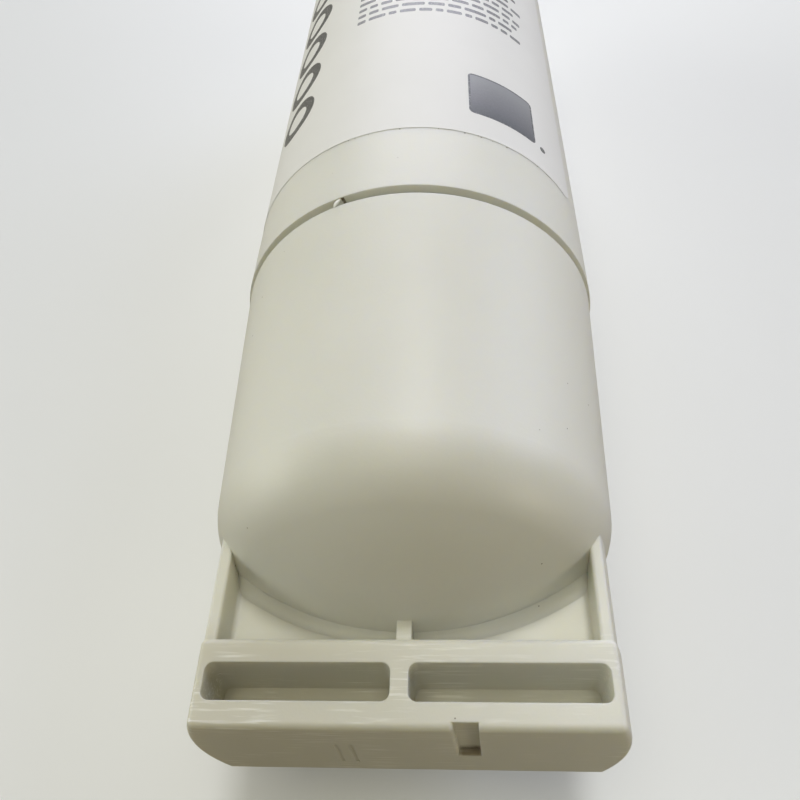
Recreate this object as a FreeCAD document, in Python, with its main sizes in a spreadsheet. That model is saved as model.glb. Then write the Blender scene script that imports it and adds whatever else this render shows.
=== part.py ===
import FreeCAD, Part
import math
import os
import Sketcher

# Fridge water filter cartridge, lying on its side.
# In each sub-part the local Y axis is the cartridge's own axis: Y = 0 is the front face of the
# grip and Y grows towards the spigot that plugs into the fridge. X is across and Z is up.

Vector = FreeCAD.Vector

# Lengths nearer to each other than this count as the same, in mm
NEAR = 0.001

SIZES = [
    # Grip at the end of the cap
    ("grip_above_axis", 10.1),
    ("grip_below_axis", 11.0),
    ("bar_depth", 11.7),
    ("bar_inset", 2.7),
    ("bar_edge_radius", 0.9),
    ("arm_step", 0.3),
    ("arm_wall", 1.6),
    ("arm_edge_radius", 0.5),
    ("web_top", 3.2),
    ("web_thickness", 2.6),
    ("web_root_radius", 0.7),
    ("divider_offset", 0.55),
    ("divider_width", 2.35),
    ("rib_top", 7.7),
    ("rib_offset", 0.3),
    ("rib_width", 2.1),
    ("pocket_rear_wall", 3.3),
    ("pocket_width", 5.0),
    ("pocket_side_wall", 1.0),
    ("pocket_depth", 10.2),
    ("pocket_middle_wall", 2.4),
    ("pocket_draft", 1.0),
    ("pocket_corner_radius", 1.2),
    ("notch_centre", 8.37),
    ("notch_width", 2.9),
    ("notch_flare", 0.4),
    ("notch_lean", 0.5),
    ("notch_depth", 0.95),
    ("notch_drop", 12.4),
    ("notch_edge_radius", 0.45),
    ("tick_centre", 8.45),
    ("tick_pitch", 2.0),
    ("tick_width", 0.5),
    ("tick_height", 9.0),
    ("tick_top", 2.8),
    ("tick_depth", 0.15),
    # Domed cap
    ("dome_gap", 2.6),
    ("dome_depth", 18.3),
    ("dome_knuckle_radius", 12.5),
    ("cap_skirt_length", 43.9),
    ("cap_rim_radius", 32.0),
    ("cap_taper", 1.4),
    ("cap_wall", 2.6),
    ("lip_length", 6.0),
    ("lip_wall", 1.3),
    ("lip_clearance", 0.1),
    ("seat_radius", 8.0),
    ("seat_floor", 1.1),
    ("seat_height", 4.0),
    ("seat_clearance", 0.2),
    # Tube with the spigot
    ("weld_gap", 1.5),
    ("tube_step", 0.4),
    ("tube_taper", 1.9),
    ("tube_length", 128.0),
    ("tube_wall", 2.6),
    ("tube_end_wall", 3.2),
    ("shoulder_radius", 8.0),
    ("neck_radius", 15.0),
    ("neck_length", 14.0),
    ("neck_wall", 2.5),
    ("neck_end_wall", 3.0),
    ("nose_radius", 7.0),
    ("nose_length", 14.0),
    ("nose_chamfer", 0.8),
    ("outlet_radius", 3.5),
    ("socket_wall", 2.2),
    ("socket_reach", 6.8),
    ("inlet_hole_radius", 1.3),
    ("inlet_hole_count", 6),
    ("lug_count", 2),
    ("lug_height", 2.4),
    ("lug_thickness", 3.2),
    ("lug_half_angle", 17.0),
    ("lug_offset", 2.0),
    # Seals
    ("neck_ring_cord", 2.8),
    ("neck_ring_from_end", 4.2),
    ("nose_ring_cord", 2.0),
    ("nose_ring_from_end", 4.6),
    ("nose_ring_pitch", 3.8),
    ("ring_stand_out", 0.5),
    ("ring_side_play", 0.3),
    ("ring_clearance", 0.05),
    # Filter block and its end caps
    ("flow_gap", 2.4),
    ("block_cap_floor", 2.4),
    ("block_cap_rim_wall", 1.4),
    ("block_cap_rim_height", 6.0),
    ("block_plug_height", 5.0),
    ("block_bore_radius", 7.0),
    ("glue_clearance", 0.15),
    ("fleece_thickness", 1.0),
    ("boss_radius", 5.0),
    ("boss_length", 16.0),
    ("head_space", 8.4),
    ("stub_length", 12.6),
    ("stub_wall", 2.5),
    ("stub_bore_radius", 3.2),
    ("stub_clearance", 0.3),
    ("stub_end_room", 3.0),
    ("stub_ring_from_end", 5.0),
    ("stub_ring_depth", 1.1),
    # Label
    ("label_from_rim", 16.0),
    ("label_length", 98.0),
    ("label_glue", 0.15),
    ("label_thickness", 0.08),
    ("label_angle", 300.0),
    ("label_start_angle", 23.0),
]

doc = FreeCAD.newDocument("filter_cartridge")


def fill_sheet():
    sheet = doc.addObject("Spreadsheet::Sheet", "dims")
    for row, (alias, value) in enumerate(SIZES, start=1):
        sheet.set(f"A{row}", alias)
        sheet.set(f"B{row}", str(value))
        sheet.setAlias(f"B{row}", alias)
    doc.recompute()
    return sheet


sheet = fill_sheet()

# Places along the axis and radii that several pieces share, as expressions on the sheet
bar_rear = "dims.bar_depth"
dome_apex = f"({bar_rear} + dims.dome_gap)"
dome_start = f"({dome_apex} + dims.dome_depth)"
cap_rim = f"({dome_start} + dims.cap_skirt_length)"
lip_end = f"({cap_rim} + dims.lip_length)"
tube_rim = f"({cap_rim} + dims.weld_gap)"
tube_end = f"({tube_rim} + dims.tube_length)"
tube_inner_end = f"({tube_end} - dims.tube_end_wall)"
neck_end = f"({tube_end} + dims.neck_length)"
nose_end = f"({neck_end} + dims.nose_length)"

bar_side_radius = "(dims.cap_rim_radius - dims.bar_inset)"
bar_half_top = f"sqrt({bar_side_radius} ^ 2 - dims.grip_above_axis ^ 2)"
bar_half_bottom = f"sqrt({bar_side_radius} ^ 2 - dims.grip_below_axis ^ 2)"
arm_side_radius = f"({bar_side_radius} - dims.arm_step)"
arm_above_axis = "(dims.grip_above_axis - dims.arm_step)"
arm_below_axis = "(dims.grip_below_axis - dims.arm_step)"
web_bottom = "(dims.web_top - dims.web_thickness)"

dome_radius = "(dims.cap_rim_radius - dims.cap_taper)"
cap_inner_radius = "(dims.cap_rim_radius - dims.cap_wall)"
lip_radius = f"({cap_inner_radius} + dims.lip_wall)"
tube_rim_radius = "(dims.cap_rim_radius + dims.tube_step)"
tube_end_radius = f"({tube_rim_radius} - dims.tube_taper)"
tube_rim_inner_radius = f"({tube_rim_radius} - dims.tube_wall)"
tube_end_inner_radius = f"({tube_end_radius} - dims.tube_wall)"

block_cap_radius = f"({tube_end_inner_radius} - dims.flow_gap)"
fleece_radius = f"({block_cap_radius} - dims.block_cap_rim_wall - dims.glue_clearance)"
block_radius = f"({fleece_radius} - dims.fleece_thickness)"
seat_floor = f"({dome_apex} + dims.cap_wall + dims.seat_floor)"
boss_foot = f"({seat_floor} + dims.seat_clearance)"
block_start = f"({boss_foot} + dims.boss_length + dims.block_cap_floor)"
upper_cap_top = f"({tube_inner_end} - dims.head_space)"
block_end = f"({upper_cap_top} - dims.block_cap_floor)"
plug_radius = "(dims.block_bore_radius - dims.glue_clearance)"
stub_radius = "(dims.stub_bore_radius + dims.stub_wall)"
stub_end = f"({upper_cap_top} + dims.stub_length)"
stub_ring_place = f"({stub_end} - dims.stub_ring_from_end)"
stub_ring_floor = f"({stub_radius} - dims.stub_ring_depth)"
socket_radius = f"({stub_radius} + dims.stub_clearance)"
stub_ring_cord = f"({socket_radius} - {stub_ring_floor} - 2 * dims.ring_clearance)"
neck_ring_floor = "(dims.neck_radius + dims.ring_stand_out - dims.neck_ring_cord)"
nose_ring_floor = "(dims.nose_radius + dims.ring_stand_out - dims.nose_ring_cord)"
neck_ring_place = f"({neck_end} - dims.neck_ring_from_end)"
nose_ring_places = [
    f"({nose_end} - dims.nose_ring_from_end)",
    f"({nose_end} - dims.nose_ring_from_end - dims.nose_ring_pitch)",
]

# The cartridge rests on the rim of its tube, with the middle of its length at Y = 0
lift = tube_rim_radius
shift_back = f"-{nose_end} / 2"


def value(expression):
    return float(sheet.evalExpression(expression))


def new_body(name):
    body = doc.addObject("PartDesign::Body", name)
    body.Label = name
    body.setExpression("Placement.Base.y", shift_back)
    body.setExpression("Placement.Base.z", lift)
    return body


def origin_feature(body, role):
    return next(item for item in body.Origin.OriginFeatures if item.Role == role)


def new_sketch(body, plane, name, offset=None):
    sketch = body.newObject("Sketcher::SketchObject", name)
    sketch.AttachmentSupport = [(origin_feature(body, plane), "")]
    sketch.MapMode = "FlatFace"
    if offset:
        sketch.setExpression("AttachmentOffset.Base.z", offset)
    return sketch


def pin_point(sketch, geometry, end, place):
    for kind, expression in zip(("DistanceX", "DistanceY"), place):
        index = sketch.addConstraint(Sketcher.Constraint(kind, -1, 1, geometry, end, value(expression)))
        sketch.setExpression(f"Constraints[{index}]", expression)


def pin_radius(sketch, geometry, expression):
    index = sketch.addConstraint(Sketcher.Constraint("Radius", geometry, value(expression)))
    sketch.setExpression(f"Constraints[{index}]", expression)


def draw_outline(sketch, corners, round_sides=()):
    # A closed outline through the corners; the sides in round_sides are arcs about the origin
    points = [Vector(value(x), value(y), 0) for x, y in corners]
    first = sketch.GeometryCount
    count = len(points)
    ends = []
    for side in range(count):
        start, stop = points[side], points[(side + 1) % count]
        if side in round_sides:
            # Arcs in a sketch run anticlockwise, so one that is met the other way swaps its ends
            forward = start.cross(stop).z > 0
            low, high = (start, stop) if forward else (stop, start)
            circle = Part.Circle(Vector(), Vector(0, 0, 1), start.Length)
            sketch.addGeometry(Part.ArcOfCircle(circle, math.atan2(low.y, low.x), math.atan2(high.y, high.x)))
            ends.append((1, 2) if forward else (2, 1))
            sketch.addConstraint(Sketcher.Constraint("Coincident", first + side, 3, -1, 1))
        else:
            sketch.addGeometry(Part.LineSegment(start, stop))
            ends.append((1, 2))
    for side in range(count):
        following = (side + 1) % count
        joint = Sketcher.Constraint("Coincident", first + side, ends[side][1],
                                    first + following, ends[following][0])
        sketch.addConstraint(joint)
    for side, place in enumerate(corners):
        if side in round_sides or (side - 1) % count in round_sides:
            pin_height(sketch, first + side, ends[side][0], place, side in round_sides)
        else:
            pin_point(sketch, first + side, ends[side][0], place)


def pin_height(sketch, geometry, end, place, starts_arc):
    # The corner of an arc about the origin needs its height, and one corner its distance too
    index = sketch.addConstraint(Sketcher.Constraint("DistanceY", -1, 1, geometry, end, value(place[1])))
    sketch.setExpression(f"Constraints[{index}]", place[1])
    if starts_arc:
        index = sketch.addConstraint(Sketcher.Constraint("DistanceX", -1, 1, geometry, end, value(place[0])))
        sketch.setExpression(f"Constraints[{index}]", place[0])


def draw_rectangle(sketch, low, high):
    draw_outline(sketch, [low, (high[0], low[1]), high, (low[0], high[1])])


def turn(body, kind, sketch, name):
    feature = body.newObject(f"PartDesign::{kind}", name)
    feature.Profile = sketch
    feature.ReferenceAxis = (sketch, ["V_Axis"])
    feature.Angle = 360
    return feature


def push(body, kind, sketch, name, length, reverse):
    feature = body.newObject(f"PartDesign::{kind}", name)
    feature.Profile = sketch
    feature.setExpression("Length", length)
    feature.Reversed = reverse
    return feature


def blend(body, name, base, edges, radius):
    feature = body.newObject("PartDesign::Fillet", name)
    feature.Base = (base, edges)
    feature.setExpression("Radius", radius)
    doc.recompute()
    return feature


def edges_where(feature, test):
    numbered = enumerate(feature.Shape.Edges, start=1)
    return [f"Edge{number}" for number, edge in numbered if not edge.Degenerated and test(edge)]


def same(first, second):
    return abs(first - second) < NEAR


def ring_edge(radius, place):
    # A test for the circular edge of this radius at this place along the axis
    def test(edge):
        if not isinstance(edge.Curve, Part.Circle):
            return False
        return same(edge.Curve.Radius, value(radius)) and same(edge.Curve.Center.y, value(place))
    return test


def runs_along_axis(edge):
    return isinstance(edge.Curve, Part.Line) and same(abs(edge.Curve.Direction.y), 1)


def repeat_around(body, feature, name, count):
    doc.recompute()
    pattern = body.newObject("PartDesign::PolarPattern", name)
    pattern.Originals = [feature]
    pattern.Axis = (origin_feature(body, "Y_Axis"), [""])
    pattern.Angle = 360
    pattern.setExpression("Occurrences", count)
    body.Tip = pattern
    doc.recompute()


def turned_piece(name, corners):
    body = new_body(name)
    sketch = new_sketch(body, "XY_Plane", f"{name}_section")
    draw_outline(sketch, corners)
    turn(body, "Revolution", sketch, f"{name}_turned")
    return body


def add_bar(body):
    sketch = new_sketch(body, "XZ_Plane", "bar_outline")
    corners = [
        (f"-{bar_half_top}", "dims.grip_above_axis"),
        (bar_half_top, "dims.grip_above_axis"),
        (bar_half_bottom, "-dims.grip_below_axis"),
        (f"-{bar_half_bottom}", "-dims.grip_below_axis"),
    ]
    draw_outline(sketch, corners, round_sides=(1, 3))
    bar = push(body, "Pad", sketch, "bar", bar_rear, True)
    doc.recompute()
    blend(body, "bar_edges", bar, edges_where(bar, lambda edge: True), "dims.bar_edge_radius")


def add_arms_and_web(body):
    # An H section: two side arms joined by the web
    sketch = new_sketch(body, "XZ_Plane", "arm_section", f"-({bar_rear} - dims.pocket_rear_wall / 2)")
    outer_top = f"sqrt({arm_side_radius} ^ 2 - {arm_above_axis} ^ 2)"
    outer_bottom = f"sqrt({arm_side_radius} ^ 2 - {arm_below_axis} ^ 2)"
    inner = f"({outer_top} - dims.arm_wall)"
    corners = [
        (outer_top, arm_above_axis),
        (outer_bottom, f"-{arm_below_axis}"),
        (inner, f"-{arm_below_axis}"),
        (inner, web_bottom),
        (f"-{inner}", web_bottom),
        (f"-{inner}", f"-{arm_below_axis}"),
        (f"-{outer_bottom}", f"-{arm_below_axis}"),
        (f"-{outer_top}", arm_above_axis),
        (f"-{inner}", arm_above_axis),
        (f"-{inner}", "dims.web_top"),
        (inner, "dims.web_top"),
        (inner, arm_above_axis),
    ]
    draw_outline(sketch, corners, round_sides=(0, 6))
    reach = f"{dome_start} - {bar_rear} + dims.pocket_rear_wall / 2"
    arms = push(body, "Pad", sketch, "arms_and_web", reach, True)
    doc.recompute()

    inner_face = value(inner)
    levels = [value("dims.web_top"), value(web_bottom)]

    def is_root(edge):
        middle = edge.CenterOfMass
        at_web = any(same(middle.z, level) for level in levels)
        return runs_along_axis(edge) and at_web and same(abs(middle.x), inner_face)

    def is_arm_edge(edge):
        middle = edge.CenterOfMass
        behind_bar = middle.y > value(bar_rear)
        return runs_along_axis(edge) and behind_bar and not is_root(edge)

    roots = blend(body, "web_roots", arms, edges_where(arms, is_root), "dims.web_root_radius")
    blend(body, "arm_edges", roots, edges_where(roots, is_arm_edge), "dims.arm_edge_radius")


def draw_dome(sketch, inset, rim_corners):
    # Half section of the domed cap: crown arc, knuckle arc, tapering skirt, then the rim's corners
    apex = ("0", f"{dome_apex} + {inset}")
    skirt_start = (f"{dome_radius} - {inset}", dome_start)
    knuckle = value(f"dims.dome_knuckle_radius - {inset}")
    radius, start = value(skirt_start[0]), value(skirt_start[1])
    depth = start - value(apex[1])
    across = radius - knuckle
    crown = (across ** 2 + depth ** 2 - knuckle ** 2) / (2 * (depth - knuckle))
    knuckle_centre = Vector(across, start, 0)
    crown_centre = Vector(0, value(apex[1]) + crown, 0)
    lean = math.atan2(across, crown_centre.y - start)
    z_axis = Vector(0, 0, 1)
    down = -math.pi / 2
    sketch.addGeometry(Part.ArcOfCircle(Part.Circle(crown_centre, z_axis, crown), down, down + lean))
    sketch.addGeometry(Part.ArcOfCircle(Part.Circle(knuckle_centre, z_axis, knuckle), down + lean, 0))
    places = [skirt_start] + rim_corners + [apex]
    points = [Vector(value(x), value(y), 0) for x, y in places]
    for first, second in zip(points, points[1:]):
        sketch.addGeometry(Part.LineSegment(first, second))
    last = sketch.GeometryCount - 1
    sketch.addConstraint(Sketcher.Constraint("Tangent", 0, 2, 1, 1))
    sketch.addConstraint(Sketcher.Constraint("Tangent", 1, 2, 2, 1))
    for line in range(2, last):
        sketch.addConstraint(Sketcher.Constraint("Coincident", line, 2, line + 1, 1))
    sketch.addConstraint(Sketcher.Constraint("Coincident", last, 2, 0, 1))
    sketch.addConstraint(Sketcher.Constraint("PointOnObject", 0, 3, -2))
    for line, place in enumerate(places[:-1], start=2):
        pin_point(sketch, line, 1, place)
    pin_point(sketch, last, 2, apex)
    pin_radius(sketch, 1, f"dims.dome_knuckle_radius - {inset}")


def add_dome(body):
    sketch = new_sketch(body, "XY_Plane", "dome_section")
    rim_corners = [
        ("dims.cap_rim_radius", cap_rim),
        (lip_radius, cap_rim),
        (lip_radius, lip_end),
        ("0", lip_end),
    ]
    draw_dome(sketch, "0", rim_corners)
    return turn(body, "Revolution", sketch, "dome")


def add_rib(body):
    sketch = new_sketch(body, "XY_Plane", "rib_outline", "dims.web_top")
    low = ("-dims.rib_offset - dims.rib_width / 2", f"{bar_rear} - dims.pocket_rear_wall / 2")
    high = ("-dims.rib_offset + dims.rib_width / 2", f"{dome_apex} + dims.cap_wall / 2")
    draw_rectangle(sketch, low, high)
    push(body, "Pad", sketch, "rib", "dims.rib_top - dims.web_top", False)


def cut_pockets(body, name, floor, depth, half_width, upward):
    # Two pockets side by side, wider at the mouth than at the floor
    spread = f"{depth} * tan(dims.pocket_draft)"
    outer = f"({half_width} - dims.pocket_side_wall - {spread})"
    rear = f"{bar_rear} - dims.pocket_rear_wall - {spread}"
    front = f"{bar_rear} - dims.pocket_rear_wall - dims.pocket_width + {spread}"
    divider_left = f"-dims.divider_offset - dims.divider_width / 2 - {spread}"
    divider_right = f"-dims.divider_offset + dims.divider_width / 2 + {spread}"
    sketch = new_sketch(body, "XY_Plane", f"{name}_outline", floor)
    draw_rectangle(sketch, (f"-{outer}", front), (divider_left, rear))
    draw_rectangle(sketch, (divider_right, front), (outer, rear))
    pockets = push(body, "Pocket", sketch, name, depth, upward)
    pockets.setExpression("TaperAngle", "dims.pocket_draft")
    doc.recompute()

    def is_corner(edge):
        # The pockets' corners are the only edges inside the bar that run from floor to mouth
        box = edge.BoundBox
        steep = box.ZLength > value(depth) / 2
        between = value("dims.bar_edge_radius") < box.YMin and box.YMax < value(bar_rear)
        own_half = (edge.CenterOfMass.z > value(floor)) == upward
        return steep and between and own_half and abs(edge.CenterOfMass.x) < value(half_width)

    blend(body, f"{name}_corners", pockets, edges_where(pockets, is_corner), "dims.pocket_corner_radius")


def cut_front_marks(body):
    # A notch cut down from the top edge of the front face, a little wider and leaning at its top,
    # and two upright tick grooves
    sketch = new_sketch(body, "XZ_Plane", "notch_outline")
    foot = "dims.grip_above_axis - dims.notch_drop"
    head = "dims.grip_above_axis + dims.bar_edge_radius"
    half_head = "(dims.notch_width + dims.notch_flare) / 2"
    corners = [
        ("dims.notch_centre - dims.notch_width / 2", foot),
        ("dims.notch_centre + dims.notch_width / 2", foot),
        (f"dims.notch_centre - dims.notch_lean + {half_head}", head),
        (f"dims.notch_centre - dims.notch_lean - {half_head}", head),
    ]
    draw_outline(sketch, corners)
    notch = push(body, "Pocket", sketch, "notch", "dims.notch_depth", False)
    doc.recompute()

    def is_left_edge(edge):
        middle = edge.CenterOfMass
        steep = edge.BoundBox.ZLength > value("dims.notch_drop") / 2
        left = value("dims.notch_centre - dims.notch_width") < middle.x < value("dims.notch_centre")
        return steep and left and same(middle.y, 0)

    blend(body, "notch_edge", notch, edges_where(notch, is_left_edge), "dims.notch_edge_radius")

    ticks = new_sketch(body, "XZ_Plane", "tick_outlines")
    for side in ("-", "+"):
        middle = f"-dims.tick_centre {side} dims.tick_pitch / 2"
        low = (f"{middle} - dims.tick_width / 2", "dims.tick_top - dims.tick_height")
        high = (f"{middle} + dims.tick_width / 2", "dims.tick_top")
        draw_rectangle(ticks, low, high)
    push(body, "Pocket", ticks, "ticks", "dims.tick_depth", False)


def hollow_cap(body):
    sketch = new_sketch(body, "XY_Plane", "cap_cavity_section")
    past_lip = f"{lip_end} + dims.lip_wall"
    rim_corners = [
        (cap_inner_radius, cap_rim),
        (cap_inner_radius, past_lip),
        ("0", past_lip),
    ]
    draw_dome(sketch, "dims.cap_wall", rim_corners)
    turn(body, "Groove", sketch, "cap_cavity")


def add_block_seat(body):
    # A cup inside the dome that centres the foot of the filter block
    sketch = new_sketch(body, "XY_Plane", "block_seat_section")
    socket = "dims.boss_radius + dims.seat_clearance"
    root = f"{dome_apex} + dims.cap_wall / 2"
    brim = f"{seat_floor} + dims.seat_height"
    corners = [
        ("0", root),
        ("dims.seat_radius", root),
        ("dims.seat_radius", brim),
        (socket, brim),
        (socket, seat_floor),
        ("0", seat_floor),
    ]
    draw_outline(sketch, corners)
    turn(body, "Revolution", sketch, "block_seat")


def make_end_cap():
    body = new_body("end_cap")
    add_bar(body)
    add_arms_and_web(body)
    add_dome(body)
    add_rib(body)
    upper_floor = "dims.grip_above_axis - dims.pocket_depth"
    lower_floor = f"{upper_floor} - dims.pocket_middle_wall"
    lower_depth = f"({lower_floor} + dims.grip_below_axis)"
    cut_pockets(body, "upper_pockets", upper_floor, "dims.pocket_depth", bar_half_top, True)
    cut_pockets(body, "lower_pockets", lower_floor, lower_depth, bar_half_bottom, False)
    cut_front_marks(body)
    hollow_cap(body)
    add_block_seat(body)
    return body


def cut_ring_groove(body, name, place, floor, cord, outside):
    sketch = new_sketch(body, "XY_Plane", f"{name}_section")
    half = f"({cord} / 2 + dims.ring_side_play)"
    draw_rectangle(sketch, (floor, f"{place} - {half}"), (outside, f"{place} + {half}"))
    turn(body, "Groove", sketch, name)


def add_lugs(body):
    # Two bayonet lugs on the neck that lock the cartridge when it is turned
    sketch = new_sketch(body, "XZ_Plane", "lug_outline", f"-({tube_end} + dims.lug_offset)")
    inside = "(dims.neck_radius - dims.neck_wall / 2)"
    outside = "(dims.neck_radius + dims.lug_height)"
    across, up = "sin(dims.lug_half_angle)", "cos(dims.lug_half_angle)"
    corners = [
        (f"-{outside} * {across}", f"{outside} * {up}"),
        (f"{outside} * {across}", f"{outside} * {up}"),
        (f"{inside} * {across}", f"{inside} * {up}"),
        (f"-{inside} * {across}", f"{inside} * {up}"),
    ]
    draw_outline(sketch, corners, round_sides=(0, 2))
    lug = push(body, "Pad", sketch, "lug", "dims.lug_thickness", True)
    repeat_around(body, lug, "lugs", "dims.lug_count")


def cut_inlet_holes(body):
    # A ring of holes in the end of the neck, where the water goes in
    sketch = new_sketch(body, "XZ_Plane", "inlet_hole_outline", f"-{neck_end}")
    middle = f"({socket_radius} + dims.socket_wall + dims.neck_radius - dims.neck_wall) / 2"
    sketch.addGeometry(Part.Circle(Vector(value(middle), 0, 0), Vector(0, 0, 1), 1))
    pin_point(sketch, 0, 3, (middle, "0"))
    pin_radius(sketch, 0, "dims.inlet_hole_radius")
    hole = push(body, "Pocket", sketch, "inlet_hole", "dims.neck_end_wall", True)
    repeat_around(body, hole, "inlet_holes", "dims.inlet_hole_count")


def make_housing_tube():
    # Tapered tube with a rounded shoulder, a neck and a nose, all one moulding
    body = new_body("housing_tube")
    sketch = new_sketch(body, "XY_Plane", "tube_section")
    bore_rim = f"{lip_radius} + dims.lip_clearance"
    socket_outside = f"{socket_radius} + dims.socket_wall"
    socket_mouth = f"{tube_inner_end} - dims.socket_reach"
    socket_floor = f"{stub_end} + dims.stub_end_room"
    neck_inside = "dims.neck_radius - dims.neck_wall"
    neck_roof = f"{neck_end} - dims.neck_end_wall"
    corners = [
        (tube_rim_radius, tube_rim),
        (tube_end_radius, tube_end),
        ("dims.neck_radius", tube_end),
        ("dims.neck_radius", neck_end),
        ("dims.nose_radius", neck_end),
        ("dims.nose_radius", f"{nose_end} - dims.nose_chamfer"),
        ("dims.nose_radius - dims.nose_chamfer", nose_end),
        ("dims.outlet_radius", nose_end),
        ("dims.outlet_radius", socket_floor),
        (socket_radius, socket_floor),
        (socket_radius, socket_mouth),
        (socket_outside, socket_mouth),
        (socket_outside, neck_roof),
        (neck_inside, neck_roof),
        (neck_inside, tube_inner_end),
        (tube_end_inner_radius, tube_inner_end),
        (tube_rim_inner_radius, lip_end),
        (bore_rim, lip_end),
        (bore_rim, tube_rim),
    ]
    draw_outline(sketch, corners)
    tube = turn(body, "Revolution", sketch, "tube_turned")
    doc.recompute()
    outer = edges_where(tube, ring_edge(tube_end_radius, tube_end))
    shoulder = blend(body, "shoulder", tube, outer, "dims.shoulder_radius")
    inner = edges_where(shoulder, ring_edge(tube_end_inner_radius, tube_inner_end))
    blend(body, "shoulder_inside", shoulder, inner, "dims.shoulder_radius - dims.tube_wall")
    past_neck = "dims.neck_radius + dims.ring_stand_out"
    past_nose = "dims.nose_radius + dims.ring_stand_out"
    cut_ring_groove(body, "neck_groove", neck_ring_place, neck_ring_floor, "dims.neck_ring_cord", past_neck)
    for number, place in enumerate(nose_ring_places, start=1):
        name = f"nose_groove_{number}"
        cut_ring_groove(body, name, place, nose_ring_floor, "dims.nose_ring_cord", past_nose)
    add_lugs(body)
    cut_inlet_holes(body)
    return body


def make_label():
    # Film wrapped part of the way round the tube
    body = new_body("label")
    body.Placement.Rotation = FreeCAD.Rotation(Vector(0, 1, 0), -value("dims.label_start_angle"))
    start = f"({tube_rim} + dims.label_from_rim)"
    stop = f"({start} + dims.label_length)"
    slope = "dims.tube_taper / dims.tube_length"
    radius_at_start = f"({tube_rim_radius} + dims.label_glue - {slope} * dims.label_from_rim)"
    radius_at_stop = f"({radius_at_start} - {slope} * dims.label_length)"
    sketch = new_sketch(body, "XY_Plane", "label_section")
    corners = [
        (radius_at_start, start),
        (f"{radius_at_start} + dims.label_thickness", start),
        (f"{radius_at_stop} + dims.label_thickness", stop),
        (radius_at_stop, stop),
    ]
    draw_outline(sketch, corners)
    wrap = turn(body, "Revolution", sketch, "label_wrap")
    wrap.setExpression("Angle", "dims.label_angle")
    wrap.Reversed = True
    return body


def make_ring(name, place, floor, cord):
    ring = doc.addObject("Part::Torus", name)
    ring.Label = name
    ring.setExpression("Radius1", f"{floor} + dims.ring_clearance + {cord} / 2")
    ring.setExpression("Radius2", f"{cord} / 2")
    ring.Placement.Rotation = FreeCAD.Rotation(Vector(1, 0, 0), -90)
    ring.setExpression("Placement.Base.y", f"{place} + {shift_back}")
    ring.setExpression("Placement.Base.z", lift)
    return ring


def make_nose_rings():
    rings = [make_ring(f"nose_ring_{number}", place, nose_ring_floor, "dims.nose_ring_cord")
             for number, place in enumerate(nose_ring_places, start=1)]
    group = doc.addObject("Part::Compound", "nose_o_rings")
    group.Label = "nose_o_rings"
    group.Links = rings
    return group


def make_carbon_block():
    return turned_piece("carbon_block", [
        ("dims.block_bore_radius", block_start),
        (block_radius, block_start),
        (block_radius, block_end),
        ("dims.block_bore_radius", block_end),
    ])


def make_fleece_wrap():
    return turned_piece("fleece_wrap", [
        (block_radius, block_start),
        (fleece_radius, block_start),
        (fleece_radius, block_end),
        (block_radius, block_end),
    ])


def make_lower_block_cap():
    # Closed cup under the block, with a foot that stands in the seat of the end cap
    floor = f"{boss_foot} + dims.boss_length"
    rim_inside = f"{fleece_radius} + dims.glue_clearance"
    rim = f"{block_start} + dims.block_cap_rim_height"
    plug = f"{block_start} + dims.block_plug_height"
    return turned_piece("lower_block_cap", [
        ("0", boss_foot),
        ("dims.boss_radius", boss_foot),
        ("dims.boss_radius", floor),
        (block_cap_radius, floor),
        (block_cap_radius, rim),
        (rim_inside, rim),
        (rim_inside, block_start),
        (plug_radius, block_start),
        (plug_radius, plug),
        ("0", plug),
    ])


def make_upper_block_cap():
    # Open cup on top of the block, with the stub that plugs into the spigot
    rim_inside = f"{fleece_radius} + dims.glue_clearance"
    rim = f"{block_end} - dims.block_cap_rim_height"
    plug = f"{block_end} - dims.block_plug_height"
    body = turned_piece("upper_block_cap", [
        ("dims.stub_bore_radius", plug),
        (plug_radius, plug),
        (plug_radius, block_end),
        (rim_inside, block_end),
        (rim_inside, rim),
        (block_cap_radius, rim),
        (block_cap_radius, upper_cap_top),
        (stub_radius, upper_cap_top),
        (stub_radius, stub_end),
        ("dims.stub_bore_radius", stub_end),
    ])
    cut_ring_groove(body, "stub_groove", stub_ring_place, stub_ring_floor, stub_ring_cord, socket_radius)
    return body


def check_and_write(pieces):
    doc.recompute()
    for item in doc.Objects:
        if "Invalid" in item.State or "Error" in item.State:
            raise RuntimeError(f"{item.Name} failed: {item.State}")
    os.makedirs("parts", exist_ok=True)
    for piece in pieces:
        shape = piece.Shape
        if shape.isNull() or not shape.isValid():
            raise RuntimeError(f"{piece.Label} has no valid shape")
        print(piece.Label, len(shape.Solids), "solid(s)", round(shape.Volume, 1), "mm3")
        shape.exportStep(f"parts/{piece.Label}.step")


check_and_write([
    make_end_cap(),
    make_housing_tube(),
    make_label(),
    make_ring("neck_o_ring", neck_ring_place, neck_ring_floor, "dims.neck_ring_cord"),
    make_nose_rings(),
    make_carbon_block(),
    make_fleece_wrap(),
    make_lower_block_cap(),
    make_upper_block_cap(),
    make_ring("stub_o_ring", stub_ring_place, stub_ring_floor, stub_ring_cord),
])
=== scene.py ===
import bmesh
import bpy
import math
import random
from mathutils import Matrix, Vector


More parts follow.
